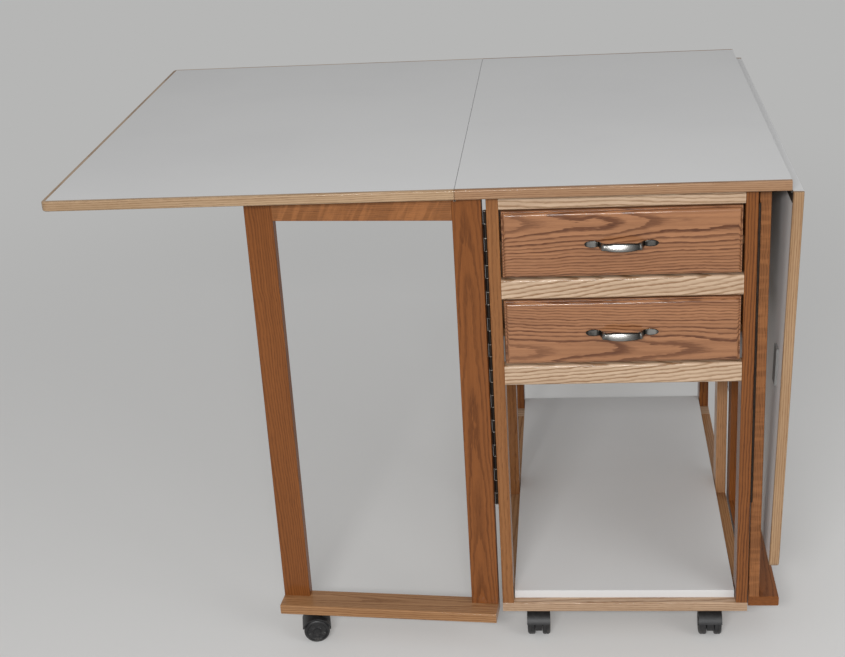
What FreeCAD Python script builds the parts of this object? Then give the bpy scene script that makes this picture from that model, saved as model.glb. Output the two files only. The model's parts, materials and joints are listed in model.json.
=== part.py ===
import FreeCAD, Part
import os

# Folding sewing cutting table: oak cabinet on casters, three white tops, two swinging gates.
# Millimetres. Built with x across the cabinet, y from its front face to the back, z up from the floor.

# Cabinet
cabinet_width = 459.6
cabinet_depth = 900.0
post_height = 817.0
board_thickness = 21.3
post_width = 50.0
base_thickness = 20.0
base_board_width = 92.0
side_board_width = 56.0
edge_ease = 1.6
foot_ease = 3.0

# Front rails and drawer openings, measured down from the underside of the top
top_rail_height = 30.0
middle_rail_height = 37.0
lower_rail_height = 38.0
upper_opening_height = 128.0
lower_opening_height = 127.0
rail_round = 4.5
side_rail_height = 60.0

# Shelf
shelf_thickness = 16.0
shelf_setback = 18.0
shelf_rear_setback = 26.0
shelf_side_gap = 1.5

# Tops
top_thickness = 18.0
top_front_overhang = 30.0
top_rear_overhang = 60.0
top_side_overhang = 50.2
leaf_length = 720.0
edging_width = 8.0
edging_round = 3.2
panel_ease = 0.4
leaf_corner_radius = 11.0
leaf_joint_gap = 0.8
leaf_hang_tilt = 1.5

# Long hinges under the tops
leaf_knuckle_radius = 1.85
leaf_pin_radius = 1.0
leaf_flap_thickness = 1.0
leaf_flap_width = 20.0
leaf_knuckle_drop = 2.0
leaf_hinge_inset = 6.0
leaf_knuckle_length = 25.4

# Gates
gate_length = 420.5
gate_thickness = 20.0
gate_stile_width = 51.0
gate_rail_height = 42.0
gate_foot_width = 57.0
gate_open_angle = 85.6
gate_under_top = 0.6
rest_pad_length = 70.0
rest_pad_width = 30.0
rest_pad_gap = 0.4

# Long hinges of the gates
gate_side_gap = 4.0
gate_axis_gap = 3.2
gate_axis_setback = 17.0
gate_end_gap = 3.4
gate_knuckle_radius = 3.0
gate_pin_radius = 1.2
gate_flap_thickness = 1.2
gate_flap_width = 24.0
gate_hinge_length = 577.0
gate_hinge_drop = 29.5
gate_knuckle_length = 25.4
knuckle_play = 0.3
flap_clearance = 0.4
pin_clearance = 0.05

# Drawers
drawer_face_proud = 4.0
drawer_face_thickness = 20.0
drawer_side_gap = 4.0
drawer_top_gap = 3.0
drawer_bottom_gap = 4.5
face_step = 2.4
face_lip = 7.0
face_round = 5.5
box_length = 440.0
box_height_share = 0.74
box_lift_share = 0.12
box_board = 15.0
box_side_gap = 8.0
box_bottom_thickness = 6.0
box_bottom_lift = 9.0
runner_height = 14.0
runner_depth = 14.0
runner_play = 0.5
groove_lift_share = 0.36

# Drawer pulls
pull_length = 126.0
pull_projection = 24.0
pull_foot_sink = 1.2
pull_section_shares = (-1.0, -0.94, -0.83, -0.7, -0.57, -0.3, 0.0, 0.3, 0.57, 0.7, 0.83, 0.94, 1.0)
pull_height_shares = (0.03, 0.06, 0.09, 0.3, 0.84, 0.96, 1.0, 0.96, 0.84, 0.3, 0.09, 0.06, 0.03)
pull_bar_width = 14.6
pull_bar_thickness = 5.6
pull_width_shares = (0.26, 0.7, 0.92, 0.58, 0.5, 0.84, 1.0, 0.84, 0.5, 0.58, 0.92, 0.7, 0.26)
pull_thickness_shares = (0.5, 0.71, 0.86, 0.93, 0.93, 0.96, 1.0, 0.96, 0.93, 0.93, 0.86, 0.71, 0.5)
pull_rise_share = 0.5

# Casters
caster_height = 64.0
wheel_radius = 25.0
wheel_width = 15.0
wheel_round = 4.0
wheel_spacing = 14.0
caster_trail = 18.0
hood_wall = 2.4
hood_gap = 1.2
hood_web_gap = 0.6
hood_start_share = 0.35
axle_radius = 3.0
axle_clearance = 0.06
neck_radius = 9.5
neck_clearance = 0.4
stem_radius = 5.0
stem_length = 14.0
stem_clearance = 0.05
stem_end_gap = 1.0
caster_side_inset = 67.0
caster_front_inset = 46.0
gate_caster_inset = 80.0
left_gate_caster_heading = -80.0

# Heights and half widths that follow
base_top = caster_height + base_thickness
top_underside = base_top + post_height
table_height = top_underside + top_thickness
half_cabinet = cabinet_width / 2
half_inside = half_cabinet - board_thickness
half_centre = half_cabinet + top_side_overhang
top_front = -top_front_overhang
top_rear = cabinet_depth + top_rear_overhang
top_rail_bottom = top_underside - top_rail_height
middle_rail_top = top_rail_bottom - upper_opening_height
middle_rail_bottom = middle_rail_top - middle_rail_height
lower_rail_top = middle_rail_bottom - lower_opening_height
lower_rail_bottom = lower_rail_top - lower_rail_height
leaf_axis_x = half_centre + leaf_joint_gap / 2
leaf_axis_z = top_underside - leaf_knuckle_drop
gate_axis_x = half_cabinet + gate_axis_gap
gate_inner_x = half_cabinet + gate_side_gap
gate_start_y = gate_axis_setback + gate_end_gap
gate_end_y = gate_start_y + gate_length
gate_top = leaf_axis_z - leaf_knuckle_radius - gate_under_top
rest_pad_thickness = top_underside - gate_top - rest_pad_gap
gate_hinge_top = gate_top - gate_hinge_drop
gate_hinge_bottom = gate_hinge_top - gate_hinge_length

X = FreeCAD.Vector(1, 0, 0)
Y = FreeCAD.Vector(0, 1, 0)
Z = FreeCAD.Vector(0, 0, 1)
quarter_turn = 90.0
same = 1e-6


def block(x0, x1, y0, y1, z0, z1):
    """Box between two corners."""
    return Part.makeBox(x1 - x0, y1 - y0, z1 - z0, FreeCAD.Vector(x0, y0, z0))


def rod(radius, length, base, direction):
    """Cylinder from a base point along a direction."""
    return Part.makeCylinder(radius, length, base, direction)


def edges_at(shape, axis, value):
    """Straight edges whose two ends both sit at one coordinate."""
    picked = []
    for edge in shape.Edges:
        ends = [getattr(v.Point, axis) for v in edge.Vertexes]
        if all(abs(e - value) < same for e in ends):
            picked.append(edge)
    return picked


def edges_along(edges, direction):
    """Those edges that run along a direction."""
    picked = []
    for edge in edges:
        run = edge.Vertexes[-1].Point - edge.Vertexes[0].Point
        if run.cross(direction).Length < same:
            picked.append(edge)
    return picked


def eased(shape, radius, direction):
    """Box with its long edges rounded."""
    return shape.makeFillet(radius, edges_along(shape.Edges, direction))


def turned(shape, point, direction, angle):
    """Copy of a shape turned about a line."""
    copy = shape.copy()
    copy.rotate(point, direction, angle)
    return copy


def mirrored(shape):
    """The same piece on the other side of the cabinet."""
    return shape.mirror(FreeCAD.Vector(0, 0, 0), X)


def long_hinge(length, pitch, knuckle_radius, pin_radius, width, fixed_side, moving_side):
    """Fixed flap, moving flap and pin of a long hinge with its pin on the z axis.

    Each side is a function that gives a strip of its flap, from near to far of the pin and from low to high.
    """
    count = max(3, int(round(length / pitch)))
    count = count + 1 - count % 2
    step = length / count
    flaps = []
    for turn, side in enumerate((fixed_side, moving_side)):
        bore = pin_radius + pin_clearance * turn
        solids = [side(knuckle_radius + flap_clearance, width, 0, length)]
        for index in range(turn, count, 2):
            low = index * step + knuckle_play / 2
            high = (index + 1) * step - knuckle_play / 2
            barrel = rod(knuckle_radius, high - low, Z * low, Z)
            solids.append(barrel.fuse(side(0, knuckle_radius + flap_clearance, low, high)))
        whole = solids[0].multiFuse(solids[1:])
        flaps.append(whole.cut(rod(bore, length, Z * 0, Z)).removeSplitter())
    return flaps[0], flaps[1], rod(pin_radius, length, Z * 0, Z)


def gate_fixed_side(near, far, low, high):
    """Flap strip against the cabinet side, behind the pin."""
    face = -gate_axis_gap
    return block(face, face + gate_flap_thickness, near, far, low, high)


def gate_moving_side(near, far, low, high):
    """Flap strip against the gate, behind the pin while the gate is folded."""
    face = gate_side_gap - gate_axis_gap
    return block(face - gate_flap_thickness, face, near, far, low, high)


def leaf_fixed_side(near, far, low, high):
    """Flap strip under the centre top."""
    return block(-far, -near, leaf_knuckle_drop - leaf_flap_thickness, leaf_knuckle_drop, low, high)


def leaf_moving_side(near, far, low, high):
    """Flap strip under the leaf."""
    return block(near, far, leaf_knuckle_drop - leaf_flap_thickness, leaf_knuckle_drop, low, high)


def caster_bore(x, y):
    """Blind hole in a base or foot board for a caster stem."""
    depth = stem_length + stem_end_gap
    return rod(stem_radius + stem_clearance, depth, FreeCAD.Vector(x, y, caster_height), Z)


def caster(x, y, heading):
    """Hood with stem and axle, and twin wheels that trail to the front before the heading turns them."""
    hub = FreeCAD.Vector(x, y - caster_trail, wheel_radius)
    half_web = wheel_spacing / 2
    wheels = []
    for side in (-1, 1):
        inner = hub + X * (side * half_web)
        wheel = rod(wheel_radius, wheel_width, inner, X * side)
        wheel = wheel.makeFillet(wheel_round, [e for e in wheel.Edges if len(e.Vertexes) == 1])
        wheels.append(wheel.cut(rod(axle_radius + axle_clearance, wheel_width, inner, X * side)))
    half_axle = half_web + wheel_width - wheel_round
    axle = rod(axle_radius, half_axle * 2, hub - X * half_axle, X)
    half_cover = half_web + wheel_width
    inner_radius = wheel_radius + hood_gap
    outer_radius = inner_radius + hood_wall
    cover = rod(outer_radius, half_cover * 2, hub - X * half_cover, X)
    cover = cover.cut(rod(inner_radius, half_cover * 2, hub - X * half_cover, X))
    cut_z = wheel_radius + wheel_radius * hood_start_share
    cover = cover.common(block(x - half_cover, x + half_cover, hub.y - outer_radius, hub.y + outer_radius,
                               cut_z, wheel_radius + outer_radius))
    web_half = half_web - hood_web_gap
    web = rod(inner_radius + hood_wall / 2, web_half * 2, hub - X * web_half, X)
    web = web.common(block(x - web_half, x + web_half, hub.y - wheel_radius, y + neck_radius,
                           wheel_radius - axle_radius * 2, wheel_radius + outer_radius))
    neck_top = caster_height - neck_clearance
    collar = rod(neck_radius, neck_top - cut_z, FreeCAD.Vector(x, y, cut_z), Z)
    collar = collar.cut(rod(inner_radius, half_cover * 2, hub - X * half_cover, X))
    stem = rod(stem_radius, neck_clearance + stem_length, FreeCAD.Vector(x, y, neck_top), Z)
    hood = web.multiFuse([cover, collar, stem, axle]).removeSplitter()
    centre = FreeCAD.Vector(x, y, 0)
    return turned(hood, centre, Z, heading), turned(Part.makeCompound(wheels), centre, Z, heading)


def edged_leaf():
    """White panel and its three mitred oak strips, raised, on the right."""
    inner = half_centre + leaf_joint_gap
    outer = inner + leaf_length
    whole = block(inner, outer, top_front, top_rear, top_underside, table_height)
    corners = edges_along(edges_at(whole, "x", outer), Z)
    whole = whole.makeFillet(leaf_corner_radius, corners)
    panel_box = block(inner, outer - edging_width, top_front + edging_width, top_rear - edging_width,
                      top_underside, table_height)
    rims = []
    for edge in whole.Edges:
        level = [abs(v.Point.z - edge.Vertexes[0].Point.z) < same for v in edge.Vertexes]
        at_joint = all(abs(v.Point.x - inner) < same for v in edge.Vertexes)
        if all(level) and not at_joint:
            rims.append(edge)
    ring = whole.makeFillet(edging_round, rims).cut(panel_box)
    reach = edging_width + leaf_corner_radius
    strips = []
    for y_edge, way in ((top_front, 1), (top_rear, -1)):
        points = [(inner, y_edge), (outer, y_edge), (outer - reach, y_edge + way * reach),
                  (inner, y_edge + way * reach)]
        loop = [FreeCAD.Vector(px, py, top_underside) for px, py in points]
        wedge = Part.Face(Part.makePolygon(loop + loop[:1])).extrude(Z * top_thickness)
        strips.append(ring.common(wedge))
    end = ring.cut(strips[0]).cut(strips[1])
    panel = panel_box.makeFillet(panel_ease, edges_along(edges_at(panel_box, "x", inner), Y))
    return panel, Part.makeCompound(strips + [end])


def gate():
    """Right gate folded against the cabinet: two stiles, top rail, foot."""
    near = gate_inner_x
    far = near + gate_thickness
    stile_low = base_top
    rail_low = gate_top - gate_rail_height
    hinge = block(near, far, gate_start_y, gate_start_y + gate_stile_width, stile_low, gate_top)
    free = block(near, far, gate_end_y - gate_stile_width, gate_end_y, stile_low, gate_top)
    rail = block(near, far, gate_start_y + gate_stile_width, gate_end_y - gate_stile_width,
                 rail_low, gate_top)
    foot = block(near, near + gate_foot_width, gate_start_y, gate_end_y, caster_height, base_top)
    foot = foot.makeFillet(foot_ease, edges_along(edges_at(foot, "x", near + gate_foot_width), Y))
    foot = foot.cut(caster_bore(near + gate_foot_width / 2, gate_end_y - gate_caster_inset))
    return {
        "hinge_stile": eased(hinge, edge_ease, Z),
        "free_stile": eased(free, edge_ease, Z),
        "top_rail": eased(rail, edge_ease, Y),
        "foot_board": foot,
    }


def drawer_face(low, high):
    """Inset drawer front with a step and a rounded field all round."""
    half = half_inside - drawer_side_gap
    z0 = low + drawer_bottom_gap
    z1 = high - drawer_top_gap
    front = -drawer_face_proud
    rear = front + drawer_face_thickness
    body = block(-half, half, front + face_lip, rear, z0, z1)
    field = block(-half + face_step, half - face_step, front, front + face_lip,
                  z0 + face_step, z1 - face_step)
    field = field.makeFillet(face_round, edges_at(field, "y", front))
    return body.fuse(field).removeSplitter()


def drawer_box(low, high):
    """Grooved sides, back and bottom behind the drawer front, and the runner strips they ride on."""
    rear_of_face = drawer_face_thickness - drawer_face_proud
    half = half_inside - box_side_gap
    z0 = low + (high - low) * box_lift_share
    z1 = z0 + (high - low) * box_height_share
    y1 = rear_of_face + box_length
    groove_low = z0 + (z1 - z0) * groove_lift_share
    groove_high = groove_low + runner_height + runner_play * 2
    tongue = runner_depth - box_side_gap
    boards = []
    strips = []
    for side in (-1, 1):
        xs = sorted((side * (half - box_board), side * half))
        board = block(xs[0], xs[1], rear_of_face, y1, z0, z1)
        gx = sorted((side * (half - tongue - runner_play), side * half))
        boards.append(board.cut(block(gx[0], gx[1], board_thickness, y1, groove_low, groove_high)))
        rx = sorted((side * (half_inside - runner_depth), side * half_inside))
        strips.append(block(rx[0], rx[1], board_thickness + runner_play, cabinet_depth / 2 + post_width / 2,
                            groove_low + runner_play, groove_high - runner_play))
    inner = half - box_board
    back = block(-inner, inner, y1 - box_board, y1, z0, z1)
    floor_low = z0 + box_bottom_lift
    floor = block(-inner, inner, rear_of_face, y1 - box_board, floor_low, floor_low + box_bottom_thickness)
    return Part.makeCompound(boards + [back, floor]), strips


def drawer_pull(low, high):
    """Bowed pull with spoon feet, lofted through oval sections and cut flat where it meets the face."""
    face = -drawer_face_proud
    middle = (low + drawer_bottom_gap + high - drawer_top_gap) / 2
    half = pull_length / 2
    places = zip(pull_section_shares, pull_height_shares)
    stations = [(half * s, face - pull_projection * h) for s, h in places]
    wires = []
    for index, (px, py) in enumerate(stations):
        before = stations[max(index - 1, 0)]
        after = stations[min(index + 1, len(stations) - 1)]
        along = FreeCAD.Vector(after[0] - before[0], after[1] - before[1], 0).normalize()
        wide = pull_bar_width * pull_width_shares[index] / 2
        thick = pull_bar_thickness * pull_thickness_shares[index] / 2
        centre = FreeCAD.Vector(px, py + pull_foot_sink - thick * pull_rise_share, middle)
        major = max(wide, thick)
        across = Z if wide >= thick else along.cross(Z)
        oval = Part.Ellipse(centre + across * major, centre + across.cross(along) * min(wide, thick), centre)
        wires.append(Part.Wire(oval.toShape()))
    bow = Part.makeLoft(wires, True, False)
    behind = block(-pull_length, pull_length, face, face + pull_projection, low, high)
    return bow.cut(behind)


nodes = {}

# Side frames
for side, name in ((-1, "left"), (1, "right")):
    xs = sorted((side * half_inside, side * half_cabinet))
    rows = (("front_stile", 0, post_width),
            ("middle_post", cabinet_depth / 2 - post_width / 2, cabinet_depth / 2 + post_width / 2),
            ("rear_stile", cabinet_depth - post_width, cabinet_depth))
    for label, y0, y1 in rows:
        high = top_underside if label != "middle_post" else top_underside - side_rail_height
        nodes[name + "_" + label] = eased(block(xs[0], xs[1], y0, y1, base_top, high), edge_ease, Z)
    rail = block(xs[0], xs[1], post_width, cabinet_depth - post_width, top_underside - side_rail_height,
                 top_underside)
    nodes[name + "_side_rail"] = eased(rail, edge_ease, Y)

# Flat base boards under the posts
caster_rows = {"front": caster_front_inset, "rear": cabinet_depth - caster_front_inset}
base_rows = (("front", 0, base_board_width),
             ("rear", cabinet_depth - base_board_width, cabinet_depth))
for label, y0, y1 in base_rows:
    board = block(-half_cabinet, half_cabinet, y0, y1, caster_height, base_top)
    board = eased(board, foot_ease, X)
    for side in (-1, 1):
        board = board.cut(caster_bore(side * (half_cabinet - caster_side_inset), caster_rows[label]))
    nodes[label + "_base_board"] = board
side_boards = []
for side in (-1, 1):
    xs = sorted((side * (half_cabinet - side_board_width), side * half_cabinet))
    side_boards.append(block(xs[0], xs[1], base_board_width, cabinet_depth - base_board_width,
                             caster_height, base_top))
nodes["side_base_boards"] = Part.makeCompound(side_boards)

# Rails between the posts, front and rear
rail_rows = (("top_front_rail", top_rail_bottom, top_underside),
             ("middle_front_rail", middle_rail_bottom, middle_rail_top),
             ("lower_front_rail", lower_rail_bottom, lower_rail_top))
for label, low, high in rail_rows:
    rail = block(-half_inside, half_inside, 0, board_thickness, low, high)
    nodes[label] = rail.makeFillet(rail_round, edges_along(edges_at(rail, "y", 0), X))
rear_rails = []
for label, low, high in (rail_rows[0], rail_rows[2]):
    rail = block(-half_inside, half_inside, cabinet_depth - board_thickness, cabinet_depth, low, high)
    rear_rails.append(rail.makeFillet(rail_round, edges_along(edges_at(rail, "y", cabinet_depth), X)))
nodes["rear_rails"] = Part.makeCompound(rear_rails)

# Shelf on the base boards, between the posts
half_shelf = half_inside - shelf_side_gap
shelf = block(-half_shelf, half_shelf, shelf_setback, cabinet_depth - shelf_rear_setback,
              base_top, base_top + shelf_thickness)
nodes["bottom_shelf"] = eased(shelf, panel_ease, X)

# Drawers
runner_strips = []
drawer_rows = (("upper_drawer", middle_rail_top, top_rail_bottom),
               ("lower_drawer", lower_rail_top, middle_rail_bottom))
for label, low, high in drawer_rows:
    nodes[label + "_front"] = drawer_face(low, high)
    nodes[label + "_box"], strips = drawer_box(low, high)
    nodes[label + "_pull"] = drawer_pull(low, high)
    runner_strips += strips
nodes["drawer_runners"] = Part.makeCompound(runner_strips)

# Centre top
centre = block(-half_centre, half_centre, top_front + edging_width, top_rear - edging_width,
               top_underside, table_height)
nodes["centre_top_panel"] = eased(centre, panel_ease, Y)
centre_strips = []
for y0, y1, outer in ((top_front, top_front + edging_width, top_front),
                      (top_rear - edging_width, top_rear, top_rear)):
    strip = block(-half_centre, half_centre, y0, y1, top_underside, table_height)
    centre_strips.append(strip.makeFillet(edging_round, edges_along(edges_at(strip, "y", outer), X)))
nodes["centre_top_edging"] = Part.makeCompound(centre_strips)

# Leaves: left raised, right hanging
panel, edging = edged_leaf()
gate_pin_spot = FreeCAD.Vector(gate_axis_x, gate_axis_setback, 0)
folded_spot = FreeCAD.Vector(gate_inner_x + gate_thickness / 2, gate_end_y - rest_pad_length / 2, 0)
pad_spot = gate_pin_spot + FreeCAD.Rotation(Z, -gate_open_angle).multVec(folded_spot - gate_pin_spot)
pad = block(pad_spot.x - rest_pad_length / 2, pad_spot.x + rest_pad_length / 2,
            pad_spot.y - rest_pad_width / 2, pad_spot.y + rest_pad_width / 2,
            top_underside - rest_pad_thickness, top_underside)
hinge_length = top_rear - top_front - leaf_hinge_inset * 2
fixed, moving, pin = long_hinge(hinge_length, leaf_knuckle_length, leaf_knuckle_radius, leaf_pin_radius,
                                leaf_flap_width, leaf_fixed_side, leaf_moving_side)
hinge_place = FreeCAD.Placement(FreeCAD.Vector(leaf_axis_x, top_rear - leaf_hinge_inset, leaf_axis_z),
                                FreeCAD.Rotation(X, quarter_turn))
right_hinge = []
for piece in (fixed, moving, pin):
    placed = piece.copy()
    placed.Placement = hinge_place
    right_hinge.append(placed)
leaf_line = FreeCAD.Vector(leaf_axis_x, 0, leaf_axis_z)
leaf_pieces = {"panel": panel, "edging": edging, "rest_pad": pad, "hinge_flap": right_hinge[1]}
for label, piece in leaf_pieces.items():
    nodes["right_leaf_" + label] = turned(piece, leaf_line, Y, quarter_turn + leaf_hang_tilt)
    nodes["left_leaf_" + label] = mirrored(piece)
nodes["leaf_fixed_flaps"] = Part.makeCompound([right_hinge[0], mirrored(right_hinge[0])])
nodes["leaf_hinge_pins"] = Part.makeCompound([right_hinge[2], mirrored(right_hinge[2])])

# Gates: right folded, left swung out
fixed, moving, pin = long_hinge(gate_hinge_length, gate_knuckle_length, gate_knuckle_radius, gate_pin_radius,
                                gate_flap_width, gate_fixed_side, gate_moving_side)
gate_line = FreeCAD.Vector(gate_axis_x, gate_axis_setback, gate_hinge_bottom)
for piece in (fixed, moving, pin):
    piece.translate(gate_line)
left_line = FreeCAD.Vector(-gate_axis_x, gate_axis_setback, gate_hinge_bottom)
gate_pieces = gate()
gate_pieces["hinge_flap"] = moving
for label, piece in gate_pieces.items():
    nodes["right_gate_" + label] = piece
    nodes["left_gate_" + label] = turned(mirrored(piece), left_line, Z, gate_open_angle)
nodes["gate_fixed_flaps"] = Part.makeCompound([fixed, mirrored(fixed)])
nodes["gate_hinge_pins"] = Part.makeCompound([pin, mirrored(pin)])

# Casters: four under the cabinet, one under each gate
gate_caster = FreeCAD.Vector(gate_inner_x + gate_foot_width / 2, gate_end_y - gate_caster_inset, 0)
swung = FreeCAD.Vector(-gate_caster.x, gate_caster.y, 0) - FreeCAD.Vector(-gate_axis_x, gate_axis_setback, 0)
swung = FreeCAD.Rotation(Z, gate_open_angle).multVec(swung)
swung = swung + FreeCAD.Vector(-gate_axis_x, gate_axis_setback, 0)
caster_x = half_cabinet - caster_side_inset
caster_spots = {
    "front_left": (-caster_x, caster_rows["front"]),
    "front_right": (caster_x, caster_rows["front"]),
    "rear_left": (-caster_x, caster_rows["rear"]),
    "rear_right": (caster_x, caster_rows["rear"]),
    "left_gate": (swung.x, swung.y),
    "right_gate": (gate_caster.x, gate_caster.y),
}
for label, (cx, cy) in caster_spots.items():
    heading = left_gate_caster_heading if label == "left_gate" else 0
    nodes[label + "_caster_hood"], nodes[label + "_caster_wheels"] = caster(cx, cy, heading)

# Origin on the floor under the middle of the whole table as it stands
whole = Part.makeCompound(list(nodes.values())).optimalBoundingBox()
shift = FreeCAD.Vector(-(whole.XMin + whole.XMax) / 2, -(whole.YMin + whole.YMax) / 2, -whole.ZMin)

os.makedirs("parts", exist_ok=True)
for name, shape in nodes.items():
    placed = shape.copy()
    placed.translate(shift)
    placed.exportStep("parts/" + name + ".step")
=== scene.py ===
"""Looks of a folding sewing cutting table: oak cabinet on casters, white tops, swinging gates.

Metres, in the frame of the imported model: x across the drawer side, y from it to the back, z up.
"""

import json
import logging
import math
import zlib
from dataclasses import dataclass, field, replace
from enum import Enum

import bmesh
import bpy
import numpy as np
from mathutils import Matrix, Vector


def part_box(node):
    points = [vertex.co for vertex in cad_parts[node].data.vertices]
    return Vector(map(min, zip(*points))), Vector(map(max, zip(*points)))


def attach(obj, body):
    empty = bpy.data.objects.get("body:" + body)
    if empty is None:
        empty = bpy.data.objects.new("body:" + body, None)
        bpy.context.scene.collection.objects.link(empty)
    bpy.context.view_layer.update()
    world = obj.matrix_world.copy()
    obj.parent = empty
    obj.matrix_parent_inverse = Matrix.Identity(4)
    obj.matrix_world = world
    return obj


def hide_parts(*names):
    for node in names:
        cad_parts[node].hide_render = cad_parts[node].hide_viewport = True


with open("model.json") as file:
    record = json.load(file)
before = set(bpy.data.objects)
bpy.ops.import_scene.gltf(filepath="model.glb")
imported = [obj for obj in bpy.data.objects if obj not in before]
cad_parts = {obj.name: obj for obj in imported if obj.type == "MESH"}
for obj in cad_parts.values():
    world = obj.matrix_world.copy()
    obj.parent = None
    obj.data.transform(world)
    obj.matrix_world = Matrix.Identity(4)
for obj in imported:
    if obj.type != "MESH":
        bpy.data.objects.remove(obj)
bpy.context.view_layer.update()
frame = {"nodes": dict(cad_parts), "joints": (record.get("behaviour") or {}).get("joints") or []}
LOG = logging.getLogger("cutting_table")
MM = 0.001
SHADE = "shade"
# Metres, longer than any board, so that a side given for the grain sorts first.
PAST_ANY_BOARD = 10.0
# Points nearer than the first are one, and edges shorter than the second are dropped.
SAME_POINT, SLIVER = 1e-3 * MM, 1e-4 * MM

Colour = tuple[float, float, float]
Stretch = tuple[float, float, float]
Span = tuple[float, float]


class Signal:
    """A socket that takes part in arithmetic: each operator adds one Math node."""

    def __init__(self, shader: "Shader", socket: bpy.types.NodeSocket) -> None:
        """Wraps a socket of a shader's tree."""
        self.shader = shader
        self.socket = socket

    def maths(self, operation: str, *terms: "Signal | float") -> "Signal":
        """Adds one Math node.

        Args:
            operation: the Math node's operation.
            terms: its inputs in order.

        Returns:
            The node's result.
        """
        return self.shader.add("Math", {"operation": operation}, dict(enumerate(terms)))

    def __add__(self, other: "Signal | float") -> "Signal":
        """self + other."""
        return self.maths("ADD", self, other)

    __radd__ = __add__

    def __sub__(self, other: "Signal | float") -> "Signal":
        """self - other."""
        return self.maths("SUBTRACT", self, other)

    def __rsub__(self, other: float) -> "Signal":
        """other - self."""
        return self.maths("SUBTRACT", other, self)

    def __mul__(self, other: "Signal | float") -> "Signal":
        """self * other."""
        return self.maths("MULTIPLY", self, other)

    __rmul__ = __mul__

    def __truediv__(self, other: "Signal | float") -> "Signal":
        """self / other."""
        return self.maths("DIVIDE", self, other)

    def root(self) -> "Signal":
        """Square root."""
        return self.maths("SQRT", self)

    def size(self) -> "Signal":
        """Value without its sign."""
        return self.maths("ABSOLUTE", self)

    def part(self) -> "Signal":
        """Fraction past the whole number below."""
        return self.maths("FRACT", self)

    def whole(self) -> "Signal":
        """Whole number below."""
        return self.maths("FLOOR", self)

    def lesser(self, other: "Signal | float") -> "Signal":
        """Smaller of two values."""
        return self.maths("MINIMUM", self, other)

    def greater(self, other: "Signal | float") -> "Signal":
        """Larger of two values."""
        return self.maths("MAXIMUM", self, other)

    def below(self, other: "Signal | float") -> "Signal":
        """1 where self is under the other value, else 0."""
        return self.maths("LESS_THAN", self, other)

    def rise(self, low: float, high: float) -> "Signal":
        """Smooth step from 0 at low to 1 at high, falling where low is above high."""
        return self.shader.add("MapRange", {"interpolation_type": "SMOOTHSTEP"},
                               {"Value": self, "From Min": low, "From Max": high})

    def beside(self, output: str) -> "Signal":
        """Another output of the same node."""
        return Signal(self.shader, self.socket.node.outputs[output])


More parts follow.
